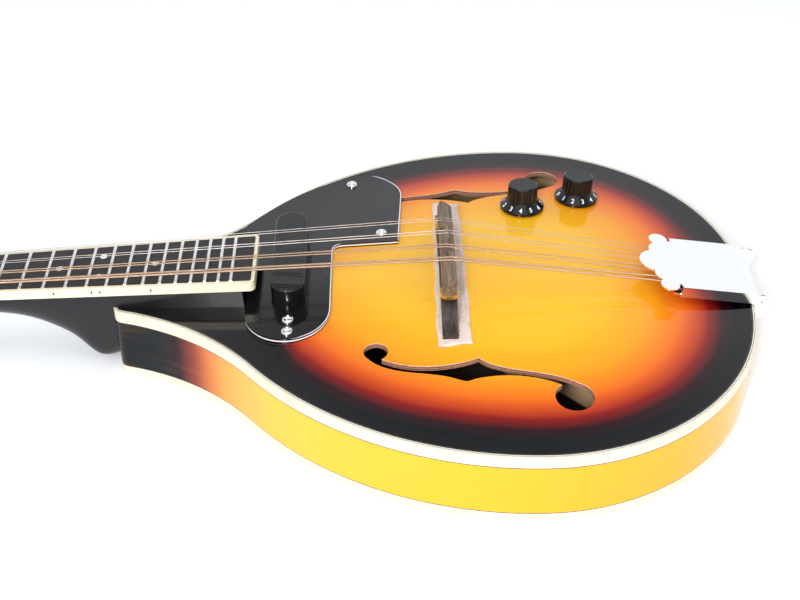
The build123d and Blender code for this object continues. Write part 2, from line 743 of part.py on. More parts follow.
for label, y in (("thumbwheel_bass", -STUD_Y), ("thumbwheel_treble", STUD_Y)):
    with BuildPart() as thumbwheel:
        add(rod((BRIDGE_X, y, WHEEL_LOW), (BRIDGE_X, y, WHEEL_TOP), WHEEL_R, STUD_R + RUN))
        with BuildSketch(Plane.XY.offset(WHEEL_LOW)):
            with Locations((BRIDGE_X, y)):
                with PolarLocations(WHEEL_R + 0.15, 36):
                    Circle(0.35)
        extrude(amount=WHEEL_HEIGHT, mode=Mode.SUBTRACT)
    finish(thumbwheel.part, label)

# Crests of the saddle: y range and how far each stands towards the tail
CRESTS = ((-SADDLE_HALF, -12.0, 1.6), (-12.0, 0.0, -1.2), (0.0, 12.0, 0.6),
          (12.0, SADDLE_HALF, -1.6))
CREST_RISE = 3.2


def crest_shift(y):
    return next(shift for low, high, shift in CRESTS if low <= y < high)


def string_saddle(spacing, radius):
    """Where a string bends over its crest of the saddle."""
    y = -spacing * BRIDGE_SPACING
    return Vector(BRIDGE_X + crest_shift(y), y, CREST + radius)


HOOK_SPACING = 4.15
HOOK_R = 0.8
LOOP_HEIGHT = -2.7                  # string loops below the cover's top face


def hook_point(index):
    """Centre of hook number index on the tailpiece, at the height of the string loops."""
    x = (HOOK_X - COVER_FRONT_X) / math.cos(math.radians(COVER_SLOPE)) + 4.0 * (index % 2)
    return cover_plane(LOOP_HEIGHT).from_local_coords((x, (index - 3.5) * HOOK_SPACING, 0))


def string_hook(index, radius):
    """Where a string meets its loop, on the bridge side of the hook."""
    return hook_point(index) - cover_plane().x_dir * (HOOK_R + 0.1 + radius)


with BuildPart() as bridge_saddle:
    side = Plane((BRIDGE_X, 0, WHEEL_TOP), x_dir=(0, 1, 0), z_dir=(1, 0, 0))
    body_height = CREST - CREST_RISE - WHEEL_TOP
    with BuildSketch(side):
        Rectangle(2 * SADDLE_HALF, body_height, align=(Align.CENTER, Align.MIN))
        with BuildLine():
            relief = ThreePointArc((22, 0), (0, 2.0), (-22, 0))
            Line(relief @ 1, relief @ 0)
        make_face(mode=Mode.SUBTRACT)
    extrude(amount=SADDLE_WIDTH / 2, both=True)
    for low, high, shift in CRESTS:
        with BuildSketch(Plane((BRIDGE_X, low, CREST - CREST_RISE), x_dir=(1, 0, 0),
                               z_dir=(0, -1, 0))):
            Polygon((-SADDLE_WIDTH / 2, 0), (SADDLE_WIDTH / 2, 0),
                    (shift + 0.9, CREST_RISE + 0.25), (shift - 0.9, CREST_RISE + 0.25),
                    align=None)
        extrude(amount=low - high)
    for y in (-STUD_Y, STUD_Y):
        add(rod((BRIDGE_X, y, WHEEL_TOP - 1), (BRIDGE_X, y, STUD_TOP + SADDLE_TRAVEL + 0.3),
                STUD_R + RUN), mode=Mode.SUBTRACT)
    for index, (_, spacing, radius) in enumerate(STRINGS):
        crest = string_saddle(spacing, radius)
        for far_end in (string_nut(spacing, radius), string_hook(index, radius)):
            way = (far_end - crest).normalized()
            add(rod(crest - way * 0.4, crest + way * 8, radius + 0.05), mode=Mode.SUBTRACT)
finish(bridge_saddle.part, "bridge_saddle")


# ---- strings -----------------------------------------------------------------------------

COIL_W = 5.6                        # middle of a string's windings above the wooden face
COIL_TURNS = 3


def string_solid(index, spacing, radius):
    """One whole string: windings on its post, nut, saddle, loop on its hook."""
    u, v = peg(index)
    coil_r = POST_WAIST_R + RUN + radius
    axis = Axis(head_point(u, v, 0), HEAD_W)
    back = string_back(spacing, radius)
    # Tangent from the nut to the side of the windings that faces the centre line
    run = u - (back - HEAD_ORIGIN).dot(HEAD_U)
    aside = back.Y - v
    reach = math.hypot(run, aside)
    lean = math.atan2(aside, run) - math.copysign(math.asin(coil_r / reach), aside)
    side = math.copysign(1, aside)
    touch = head_point(u + side * coil_r * math.sin(lean), v + side * coil_r * math.cos(lean),
                       COIL_W)
    stops = [touch, back, string_nut(spacing, radius), string_saddle(spacing, radius),
             string_hook(index, radius)]
    loop_centre = hook_point(index)
    with BuildPart() as piece:
        for start, end in zip(stops, stops[1:]):
            add(rod(start, end, radius))
        with Locations(*stops[1:4]):
            Sphere(radius)
        coil_side = Plane(axis.position, x_dir=(0, 1, 0), z_dir=Vector(0, 1, 0).cross(HEAD_W))
        with BuildSketch(coil_side):
            for turn in range(COIL_TURNS):
                with Locations((coil_r, COIL_W + (turn - 1) * 1.8 * radius)):
                    Circle(radius)
        revolve(axis=axis)
        loop_side = Plane(loop_centre, x_dir=cover_plane().x_dir, z_dir=(0, -1, 0))
        with BuildSketch(loop_side):
            with Locations((HOOK_R + 0.1 + radius, 0)):
                Circle(radius)
        revolve(axis=Axis(loop_centre, cover_plane().z_dir))
    return piece.part


for label, names in (("wound_strings", "GD"), ("plain_strings", "AE")):
    with BuildPart() as strings:
        for index, (name, spacing, radius) in enumerate(STRINGS):
            if name in names:
                add(string_solid(index, spacing, radius))
    finish(strings.part, label)


# ---- pickguard, pickup and controls ------------------------------------------------------

PICKUP_TOP = BODY_DEPTH + arch(PICKUP_X, PICKUP_Y) + GUARD + PICKUP_HEIGHT
PICKUP_WALL = 1.2
GUARD_BOW_R = 22.3
GUARD_RIGHT = -106.8


def pickup_slot(shrink):
    with BuildSketch() as slot:
        with Locations((PICKUP_X, PICKUP_Y)):
            SlotOverall(PICKUP_LENGTH - 2 * shrink, PICKUP_WIDTH - 2 * shrink, rotation=90)
    return slot.sketch


def guard_face():
    """Outline of the pickguard: a lobe round the pickup and a wing to the treble side."""
    with BuildSketch() as outline:
        with BuildLine():
            bow_left = GUARD_RIGHT - 2 * GUARD_BOW_R
            bow_y = -29.0
            Line((bow_left, bow_y), (bow_left, 24.0))
            Line((bow_left, 24.0), (-156.0, 52.0))
            far_edge = Spline((-156.0, 52.0), (-134.0, 77.5), (-112.0, 94.5), (-89.0, 103.3))
            corner = Spline(far_edge @ 1, (-74.0, 96.0), (-68.0, 80.0),
                            tangents=(far_edge % 1, (0, -1)))
            Line(corner @ 1, (-70.5, 29.8))
            shelf = Line((-70.5, 29.8), (GUARD_RIGHT + 6, 28.6))
            turn = Spline(shelf @ 1, (GUARD_RIGHT, 22.0), tangents=((-1, 0), (0, -1)))
            Line(turn @ 1, (GUARD_RIGHT, bow_y))
            ThreePointArc((GUARD_RIGHT, bow_y), (GUARD_RIGHT - GUARD_BOW_R, bow_y - GUARD_BOW_R),
                          (bow_left, bow_y))
        make_face()
    return outline.sketch


with BuildPart() as pickguard:
    with BuildSketch(Plane.XY.offset(PLATE_LOW)):
        add(guard_face())
    extrude(amount=3 * ARCH_HEIGHT)
    add(arch_slab(0, GUARD), mode=Mode.INTERSECT)
    with BuildSketch(Plane.XY.offset(BODY_DEPTH)):
        add(pickup_slot(-0.15))
    extrude(amount=3 * ARCH_HEIGHT, both=True, mode=Mode.SUBTRACT)
    add(body_screws.part, mode=Mode.SUBTRACT)
    add(neck_extension.part, mode=Mode.SUBTRACT)
finish(pickguard.part, "pickguard")

with BuildPart() as pickup_cover:
    with BuildSketch(Plane.XY.offset(PICKUP_TOP)):
        add(pickup_slot(0))
    extrude(amount=-PICKUP_HEIGHT - 2 * ARCH_HEIGHT)
    add(arch_slab(0.02, 30), mode=Mode.INTERSECT)
    fillet(pickup_cover.edges().group_by(Axis.Z)[-1], 1.0)
    with BuildSketch(Plane.XY.offset(PICKUP_TOP - PICKUP_WALL)):
        add(pickup_slot(PICKUP_WALL))
    extrude(amount=-PICKUP_HEIGHT - 2 * ARCH_HEIGHT, mode=Mode.SUBTRACT)
finish(pickup_cover.part, "pickup_cover")

with BuildPart() as pickup_core:
    with BuildSketch(Plane.XY.offset(PICKUP_TOP - PICKUP_WALL)):
        add(pickup_slot(3.3))
    extrude(amount=BODY_DEPTH - 4 - PICKUP_TOP + PICKUP_WALL)
finish(pickup_core.part, "pickup_core")

KNOB_TOP = KNOB_GAP + KNOB_HEIGHT
GRIP_LOW = KNOB_GAP + 5.2
BORE_TOP = KNOB_TOP - 3.0
NUT_HEIGHT = 2.5
BUSHING_TOP = 3.6
CAN_TOP = -TOP_THICKNESS - 0.4

for label, x, y in KNOBS:
    base = control_plane(x, y)
    with BuildPart() as knob:
        add(turned(base, [(SHAFT_R, GRIP_LOW - 1), (SHAFT_R, BORE_TOP), (0, BORE_TOP),
                          (0, KNOB_TOP), (KNOB_GRIP_R - 0.9, KNOB_TOP),
                          (KNOB_GRIP_R - 0.2, KNOB_TOP - 0.6), (KNOB_GRIP_R, GRIP_LOW),
                          (KNOB_SKIRT_R, KNOB_GAP + 1.4), (KNOB_SKIRT_R, KNOB_GAP),
                          (8.5, KNOB_GAP), (8.5, GRIP_LOW - 1)]))
        with BuildSketch(base.offset(GRIP_LOW + 0.6)):
            with PolarLocations(KNOB_GRIP_R + 0.35, 24):
                Circle(0.75)
        extrude(amount=KNOB_HEIGHT, mode=Mode.SUBTRACT)
    finish(knob.part, f"{label}_knob")
    with BuildPart() as shaft:
        add(rod(base.from_local_coords((0, 0, CAN_TOP - 4)),
                base.from_local_coords((0, 0, BORE_TOP)), SHAFT_R))
    finish(shaft.part, f"{label}_shaft")

with BuildPart() as potentiometers:
    for label, x, y in KNOBS:
        base = control_plane(x, y)
        add(turned(base, [(SHAFT_R + RUN, CAN_TOP - 4.2), (SHAFT_R + RUN, BUSHING_TOP),
                          (BUSHING_R, BUSHING_TOP), (BUSHING_R, NUT_HEIGHT), (5.3, NUT_HEIGHT),
                          (5.3, 0.05), (BUSHING_R, 0.05), (BUSHING_R, CAN_TOP),
                          (POT_R, CAN_TOP), (POT_R, CAN_TOP - POT_HEIGHT),
                          (0, CAN_TOP - POT_HEIGHT), (0, CAN_TOP - 4.2)]))
finish(potentiometers.part, "potentiometers")

JACK_FLANGE = 2.2
JACK_LENGTH = 20.0
with BuildPart() as output_jack:
    add(turned(jack_plane(), [(JACK_BORE_R, -JACK_LENGTH), (JACK_BORE_R, JACK_FLANGE),
                              (8.0, JACK_FLANGE), (8.0, 0.02), (JACK_BODY_R, 0.02),
                              (JACK_BODY_R, -JACK_LENGTH - 2), (0, -JACK_LENGTH - 2),
                              (0, -JACK_LENGTH)]))
finish(output_jack.part, "output_jack")


# ---- tailpiece ---------------------------------------------------------------------------

BASE_LOW = -5.8
BASE_SHEET = 1.2
BASE_HALF = 21.2
FLANGE_TOP = -1.7
EAR = 0.8
TAB_HALF = 10.0
TAB_LENGTH = 22.0


def tail_side(y):
    """Plane square to Y for the tailpiece's side shapes; x along X, y along Z."""
    return Plane((0, y, BODY_DEPTH), x_dir=(1, 0, 0), z_dir=(0, -1, 0))


with BuildPart() as tailpiece_base:
    with BuildSketch(cover_plane(BASE_LOW)):
        with Locations((16, 0)):
            Rectangle(46.4, 2 * BASE_HALF, align=(Align.MIN, Align.CENTER))
    extrude(amount=BASE_SHEET)
    with BuildSketch(cover_plane(BASE_LOW)):
        for side in (-1, 1):
            with Locations((22, side * (BASE_HALF - EAR / 2))):
                Rectangle(39, EAR, align=(Align.MIN, Align.CENTER))
    extrude(amount=FLANGE_TOP - BASE_LOW)
    with BuildSketch(Plane((TAIL_X + 0.1, 0, BODY_DEPTH), x_dir=(0, 1, 0), z_dir=(1, 0, 0))):
        Rectangle(2 * TAB_HALF, TAB_LENGTH, align=(Align.CENTER, Align.MAX))
        Rectangle(2 * TAB_HALF, 2.0, align=(Align.CENTER, Align.MIN))
    extrude(amount=TAB)
    for side in (-1, 1):
        with BuildSketch(tail_side(side * (BASE_HALF - EAR / 2))):
            with Locations((HINGE_X, HINGE_Z - BODY_DEPTH)):
                Circle(3.6)
            with Locations((TAIL_X + 2.4, -6.5)):
                Circle(2.2)
            with Locations((TAIL_X + 1.8, 4.0)):
                Circle(2.4)
            make_hull()
        extrude(amount=EAR / 2, both=True)
        add(rod((HINGE_X, side * (BASE_HALF - EAR), HINGE_Z),
                (HINGE_X, side * (COVER_HALF + 0.1), HINGE_Z), PIN_R))
        add(rod((HINGE_X, side * (COVER_HALF + 0.1), HINGE_Z),
                (HINGE_X, side * (COVER_HALF + 0.7), HINGE_Z), 2.4))
    for index in range(len(STRINGS)):
        foot = hook_point(index)
        up = cover_plane().z_dir
        add(rod(foot + up * (BASE_LOW + 0.3 - LOOP_HEIGHT), foot + up * 0.9, HOOK_R))
    add(body_screws.part, mode=Mode.SUBTRACT)
finish(tailpiece_base.part, "tailpiece_base")

with BuildPart() as tailpiece_cover:
    with BuildSketch(cover_plane(-COVER_SHEET)):
        with Locations((20, 0)):
            Rectangle(40.5, 2 * COVER_HALF, align=(Align.MIN, Align.CENTER))
        with Locations((10, 0)):
            Rectangle(14, 34, align=(Align.MIN, Align.CENTER))
        with Locations((9.4, 0)):
            Circle(9.4)
        for side in (-1, 1):
            with Locations((13.2, side * 10.6)):
                Circle(6.6)
            with Locations((13.3, side * 20.4)):
                Circle(5.0)
            with Locations((16, side * 15)):
                Rectangle(8, 8)
    extrude(amount=COVER_SHEET)
    for side in (-1, 1):
        wall_y = side * (COVER_HALF - COVER_SHEET / 2)
        with BuildSketch(cover_plane(-COVER_WALL)):
            with Locations((20, wall_y)):
                Rectangle(40.5, COVER_SHEET, align=(Align.MIN, Align.CENTER))
        extrude(amount=COVER_WALL)
        with BuildSketch(tail_side(wall_y)):
            with Locations((HINGE_X, HINGE_Z - BODY_DEPTH)):
                Circle(4.2)
            with Locations((TAIL_X - 3.0, 4.2)):
                Circle(2.6)
            make_hull()
        extrude(amount=COVER_SHEET / 2, both=True)
        add(rod((HINGE_X, side * BASE_HALF, HINGE_Z), (HINGE_X, side * 30, HINGE_Z),
                PIN_R + RUN), mode=Mode.SUBTRACT)
finish(tailpiece_cover.part, "tailpiece_cover")


# ---- headstock and tuners ----------------------------------------------------------------

with BuildPart() as headstock_veneer:
    with BuildSketch(head_plane()):
        add(head_face())
        with Locations(*[(u, v) for u in POST_U for v in (-POST_V, POST_V)]):
            Circle(BUSH_R, mode=Mode.SUBTRACT)
        with Locations((-2, 0)):
            Rectangle(HEAD_POCKET + 2, ROD_SLOT + 2, align=(Align.MIN, Align.CENTER),
                      mode=Mode.SUBTRACT)
    extrude(amount=VENEER)
    add(nut.part, mode=Mode.SUBTRACT)
    with BuildSketch(neck_plane()):
        with Locations((-NUT_WIDTH, 0)):
            Rectangle(20, 80, align=(Align.MIN, Align.CENTER))
    extrude(amount=10, both=True, mode=Mode.SUBTRACT)
    add(headstock_screws.part, mode=Mode.SUBTRACT)
finish(headstock_veneer.part, "headstock_veneer")

with BuildPart() as truss_rod_cover:
    with BuildSketch(head_plane(VENEER)):
        with BuildLine():
            bell = Spline((1.5, 4.0), (12, 5.2), (24, 9.0), (31, 8.0), (33, 0),
                          tangents=((1, 0), (0, -1)))
            mirror(about=Plane.XZ)
            Line((1.5, 4.0), (1.5, -4.0))
        make_face()
    extrude(amount=ROD_COVER)
    add(headstock_screws.part, mode=Mode.SUBTRACT)
finish(truss_rod_cover.part, "truss_rod_cover")

with BuildPart() as post_bushings:
    for u in POST_U:
        for v in (-POST_V, POST_V):
            add(rod(head_point(u, v, -BUSH_DEPTH), head_point(u, v, VENEER), BUSH_R,
                    POST_R + RUN))
            add(rod(head_point(u, v, VENEER), head_point(u, v, VENEER + 0.9), 4.7,
                    POST_R + RUN))
finish(post_bushings.part, "post_bushings")

with BuildPart() as tuner_plates:
    for side in (-1, 1):
        with BuildSketch(head_plane(-HEAD_THICKNESS)):
            with Locations((12, -side * (PLATE_LOW_V + PLATE_HIGH_V) / 2)):
                RectangleRounded(86, PLATE_HIGH_V - PLATE_LOW_V, 2.5,
                                 align=(Align.MIN, Align.CENTER))
        extrude(amount=-PLATE)
        for u in POST_U:
            for v in (POST_V - EAR_V, POST_V + EAR_V):
                with BuildSketch(head_plane(-HEAD_THICKNESS - PLATE)):
                    with Locations((u + WORM_OFFSET, -side * v)):
                        Rectangle(6, PLATE)
                extrude(amount=-EAR_REACH)
            add(rod(head_point(u, side * POST_V, -HEAD_THICKNESS - 2),
                    head_point(u, side * POST_V, -HEAD_THICKNESS + 1), POST_R + RUN),
                mode=Mode.SUBTRACT)
            add(rod(head_point(u + WORM_OFFSET, side * (POST_V - EAR_V - 2), WORM_W),
                    head_point(u + WORM_OFFSET, side * (POST_V + EAR_V + 2), WORM_W),
                    WORM_SHAFT_R + RUN), mode=Mode.SUBTRACT)
    add(headstock_screws.part, mode=Mode.SUBTRACT)
finish(tuner_plates.part, "tuner_plates")

GEAR_HIGH = WORM_W + GEAR_THICKNESS / 2
GEAR_LOW = WORM_W - GEAR_THICKNESS / 2

for index in range(len(STRINGS)):
    u, v = peg(index)
    side = math.copysign(1, v)
    foot = Plane(head_point(u, v, 0), x_dir=HEAD_U, z_dir=HEAD_W)
    with BuildPart() as tuner_post:
        add(turned(foot, [(0, GEAR_LOW - 0.8), (2.2, GEAR_LOW - 0.8), (2.2, GEAR_LOW),
                          (GEAR_R, GEAR_LOW), (GEAR_R, GEAR_HIGH), (POST_R, GEAR_HIGH),
                          (POST_R, 3.2), (POST_WAIST_R, 3.8), (POST_WAIST_R, 8.6),
                          (POST_R, 9.2), (POST_R, POST_TOP - 0.6), (POST_R - 0.6, POST_TOP),
                          (0, POST_TOP)]))
        with BuildSketch(foot.offset(GEAR_LOW)):
            with PolarLocations(GEAR_R + 0.25, GEAR_TEETH):
                Circle(0.55)
        extrude(amount=GEAR_THICKNESS, mode=Mode.SUBTRACT)
        add(rod(head_point(u, v - 5, 10.8), head_point(u, v + 5, 10.8), 0.8),
            mode=Mode.SUBTRACT)
    finish(tuner_post.part, f"tuner_post_{index + 1}")
    inside = head_point(u + WORM_OFFSET, side * (POST_V - EAR_V - 1.2), WORM_W)
    outward = Vector(0, side, 0)
    with BuildPart() as tuner_key:
        button_v = BUTTON_V - POST_V + EAR_V + 1.2
        add(rod(inside, inside + outward * (button_v + 2), WORM_SHAFT_R))
        add(rod(inside + outward * 1.9, inside + outward * (2 * EAR_V + 0.5), WORM_R))
        for along, wide, thick in ((button_v, 2.2, 2.2), (button_v + 3.5, 4.4, 3.2),
                                   (button_v + 8.5, 5.8, 3.7), (button_v + 13, 5.0, 3.2)):
            with BuildSketch(Plane(inside + outward * along, x_dir=HEAD_U, z_dir=outward)):
                Ellipse(wide, thick)
        loft()
        fillet(tuner_key.edges().sort_by(Axis((0, 0, 0), (0, side, 0)))[-1], 1.0)
    finish(tuner_key.part, f"tuner_key_{index + 1}")
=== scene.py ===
"""Looks of the electric A-style mandolin, in metres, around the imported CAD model.

+X runs from the headstock to the tail, +Y to the treble side, +Z up. The back lies on z = 0.
"""
import json
import math

import bmesh
import bpy
from mathutils import Matrix, Vector


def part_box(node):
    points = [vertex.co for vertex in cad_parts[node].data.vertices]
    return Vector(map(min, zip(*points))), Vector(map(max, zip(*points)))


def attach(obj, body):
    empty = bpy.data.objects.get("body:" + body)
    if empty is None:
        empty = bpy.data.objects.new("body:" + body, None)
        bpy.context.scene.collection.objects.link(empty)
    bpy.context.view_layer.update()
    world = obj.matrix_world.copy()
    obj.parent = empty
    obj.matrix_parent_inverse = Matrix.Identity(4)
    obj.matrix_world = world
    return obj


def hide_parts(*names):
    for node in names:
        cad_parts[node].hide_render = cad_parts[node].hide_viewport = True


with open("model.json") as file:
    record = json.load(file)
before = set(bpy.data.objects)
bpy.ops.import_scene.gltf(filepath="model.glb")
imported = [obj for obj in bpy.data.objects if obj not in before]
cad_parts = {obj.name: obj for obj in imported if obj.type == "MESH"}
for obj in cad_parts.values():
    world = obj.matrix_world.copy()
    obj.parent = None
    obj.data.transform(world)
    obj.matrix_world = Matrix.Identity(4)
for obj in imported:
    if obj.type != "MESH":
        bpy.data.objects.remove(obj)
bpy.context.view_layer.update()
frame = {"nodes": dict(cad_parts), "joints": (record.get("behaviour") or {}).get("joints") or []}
NODES = frame["nodes"]
MM = 0.001

# ---- sizes shared with the CAD -------------------------------------------------------------

TAIL_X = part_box("top_binding")[1].x
NECK_END_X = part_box("top_binding")[0].x
RIM_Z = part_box("top_binding")[1].z            # plane of the top's edge
BINDING = 2.0 * MM
# Outer edge of the body from the tail to the neck as tangent arcs: radius (m), turn (degrees)
BODY_ARCS = ((0.188, 11.1), (0.122, 78.1), (0.184, 51.1), (0.136, -35.6), (0.006, 75.3))
ARCH_HEIGHT = 7.0 * MM
ARCH_TO_NECK = 0.215
ARCH_TO_TAIL = 0.116
ARCH_HALF_WIDTH = 0.130
ARCH_TAPER = 0.55
TOP_THICKNESS = 3.0 * MM


def arch(x, y):
    """Height of the top above the rim plane."""
    reach = ARCH_TO_NECK if x < 0 else ARCH_TO_TAIL
    taper = ARCH_TAPER * (x / reach) ** 2 if x < 0 else 0
    half = ARCH_HALF_WIDTH * (1 - taper)
    e = (x / reach) ** 2 + (y / half) ** 2
    return ARCH_HEIGHT * (1 - e) ** 2 if e < 1 else 0.0


# ---- node helpers --------------------------------------------------------------------------

class Field:
    """A value that changes over a surface, with ordinary arithmetic."""

    def __init__(self, look, socket):
        self.look = look
        self.socket = socket

    def _with(self, operation, *others):
        return self.look.math(operation, self, *others)

    def __add__(self, other):
        return self._with("ADD", other)

    def __sub__(self, other):
        return self._with("SUBTRACT", other)

    def __rsub__(self, other):
        return self.look.math("SUBTRACT", other, self)

    def __mul__(self, other):
        return self._with("MULTIPLY", other)

    def __truediv__(self, other):
        return self._with("DIVIDE", other)

    def __gt__(self, other):
        return self._with("GREATER_THAN", other)

    def __lt__(self, other):
        return self._with("LESS_THAN", other)

    def abs(self):
        return self._with("ABSOLUTE")

    def sqrt(self):
        return self._with("SQRT")

    def min(self, other):
        return self._with("MINIMUM", other)

    def max(self, other):
        return self._with("MAXIMUM", other)

    def clamp(self):
        return self.max(0.0).min(1.0)

    def between(self, low, high):
        return (self > low) * (self < high)

    def rise(self, low, high):
        """0 below low, 1 above high, smooth between."""
        node = self.look.node("ShaderNodeMapRange", interpolation_type="SMOOTHSTEP")
        self.look.link(self, node.inputs["Value"])
        node.inputs["From Min"].default_value = low
        node.inputs["From Max"].default_value = high
        return Field(self.look, node.outputs["Result"])


class Look:
    """One material: a Principled shader and the fields that drive it."""

    def __init__(self, name, **values):
        self.material = bpy.data.materials.new(name)
        self.material.use_nodes = True
        self.tree = self.material.node_tree
        self.shader = self.tree.nodes["Principled BSDF"]
        for key, value in values.items():
            self.shader.inputs[key.replace("_", " ")].default_value = value
        coordinates = self.node("ShaderNodeTexCoord")
        self.position = Field(self, coordinates.outputs["Object"])
        parts = self.node("ShaderNodeSeparateXYZ")
        self.link(self.position, parts.inputs[0])
        self.x, self.y, self.z = (Field(self, parts.outputs[i]) for i in range(3))

    def node(self, kind, **settings):
        made = self.tree.nodes.new(kind)
        for key, value in settings.items():
            setattr(made, key, value)
        return made

    def link(self, field, socket):
        if isinstance(field, Field):
            self.tree.links.new(field.socket, socket)
        else:
            socket.default_value = field

    def math(self, operation, *values):
        made = self.node("ShaderNodeMath", operation=operation)
        for value, socket in zip(values, made.inputs):
            self.link(value, socket)
        return Field(self, made.outputs[0])

    def normal(self):
        """(x, y, z) of the surface's own direction, before any bump."""
        geometry = self.node("ShaderNodeNewGeometry")
        parts = self.node("ShaderNodeSeparateXYZ")
        self.tree.links.new(geometry.outputs["True Normal"], parts.inputs[0])
        return [Field(self, parts.outputs[i]) for i in range(3)]

    def stretched(self, sx, sy, sz):
        mapping = self.node("ShaderNodeMapping")
        self.link(self.position, mapping.inputs["Vector"])
        mapping.inputs["Scale"].default_value = (sx, sy, sz)
        return Field(self, mapping.outputs[0])

    def noise(self, scale, detail=3.0, at=None, rough=0.55):
        made = self.node("ShaderNodeTexNoise")
        made.inputs["Scale"].default_value = scale
        made.inputs["Detail"].default_value = detail
        made.inputs["Roughness"].default_value = rough
        self.link(at or self.position, made.inputs["Vector"])
        return Field(self, made.outputs[0])

    def mix(self, share, first, second):
        made = self.node("ShaderNodeMix", data_type="RGBA")
        self.link(share, made.inputs[0])
        for value, socket in ((first, made.inputs[6]), (second, made.inputs[7])):
            if isinstance(value, Field):
                self.link(value, socket)
            else:
                socket.default_value = (*value, 1.0)
        return Field(self, made.outputs[2])

    def ramp(self, field, *stops):
        """Colour along a field; stops are (value from 0 to 1, colour)."""
        made = self.node("ShaderNodeValToRGB")
        made.color_ramp.interpolation = "CARDINAL" if len(stops) > 4 else "LINEAR"
        while len(made.color_ramp.elements) < len(stops):
            made.color_ramp.elements.new(0.5)
        for element, (place, colour) in zip(made.color_ramp.elements, stops):
            element.position = place
            element.color = (*colour, 1.0)
        self.link(field, made.inputs[0])
        return Field(self, made.outputs[0])

    def colour(self, field):
        self.link(field, self.shader.inputs["Base Color"])

    def roughness(self, middle, spread, scale=60.0):
        """Gloss that varies a little, as handling and polish leave it."""
        wear = (self.noise(scale, 4.0) - 0.5) * (2 * spread) + middle
        self.link(wear, self.shader.inputs["Roughness"])

    def bump(self, height, depth):
        made = self.node("ShaderNodeBump")
        made.inputs["Distance"].default_value = depth
        self.link(height, made.inputs["Height"])
        self.tree.links.new(made.outputs[0], self.shader.inputs["Normal"])

    def on(self, *names):
        for name in names:
            slots = NODES[name].data.materials
            slots.clear()
            slots.append(self.material)


def edge_distance(look):
    """Distance of a point inside the body from its outer edge, as a field."""
    y = look.y.abs()
    place = Vector((TAIL_X, 0.0))
    heading = math.pi / 2
    distance = None
    for radius, turn in BODY_ARCS:
        sign = math.copysign(1, turn)
        centre = place + sign * radius * Vector((-math.sin(heading), math.cos(heading)))
        dx = look.x - centre.x
        dy = y - centre.y
        from_arc = (radius - (dx * dx + dy * dy).sqrt()) * sign
        if distance is None:
            distance = from_arc
        else:
            ahead = ((look.x - place.x) * math.cos(heading)
                     + (y - place.y) * math.sin(heading)) > 0.0
            distance = distance + (from_arc - distance) * ahead
        heading += math.radians(turn)
        place = centre + sign * radius * Vector((math.sin(heading), -math.cos(heading)))
    return distance.min(look.x - NECK_END_X)


def arch_field(look):
    """Height of a point above the top's outer face, as a field."""
    behind = look.x > 0.0
    reach = behind * (ARCH_TO_TAIL - ARCH_TO_NECK) + ARCH_TO_NECK
    along = look.x / reach
    along2 = along * along
    half = (1.0 - along2 * ARCH_TAPER * (1.0 - behind)) * ARCH_HALF_WIDTH
    across = look.y / half
    left = (1.0 - (along2 + across * across)).max(0.0)
    return look.z - RIM_Z - left * left * ARCH_HEIGHT


# ---- materials: body -----------------------------------------------------------------------

PALE_WOOD = (0.60, 0.43, 0.25)
PALE_WOOD_DARK = (0.42, 0.26, 0.13)
PALE_WOOD_LIT = (0.92, 0.64, 0.40)            # where light from the far sound hole falls
PALE_WOOD_LIT_DARK = (0.80, 0.52, 0.30)
SHADED_WOOD = (0.045, 0.032, 0.026)
LIT_FROM, LIT_TO = -0.0310, -0.0290           # x + y inside the back, from shaded to lit
TOP_BURST = 0.09                              # distance from the edge to the plain yellow
SIDE_BURST = 0.34                             # length of the sides, end to end
BACK_BURST = 0.1
HEEL_FROM, HEEL_TO, HEEL_SHADE = -0.120, -0.165, 0.030    # wider black round the neck's heel
FACES_UP, FACES_DOWN = 0.75, -0.5             # limits of a normal's z
LACQUER = {"Specular_IOR_Level": 0.40}


def wood_grain(look, along=14.0, across=420.0):
    """Fine lines that run along X, as a field from 0 to 1."""
    return look.noise(1.0, 4.0, look.stretched(along, across, across), 0.6)


def bare_wood(look):
    """Colour of the unfinished wood inside the body."""
    return look.mix(wood_grain(look, 20.0, 700.0).rise(0.3, 0.75), PALE_WOOD, PALE_WOOD_DARK)


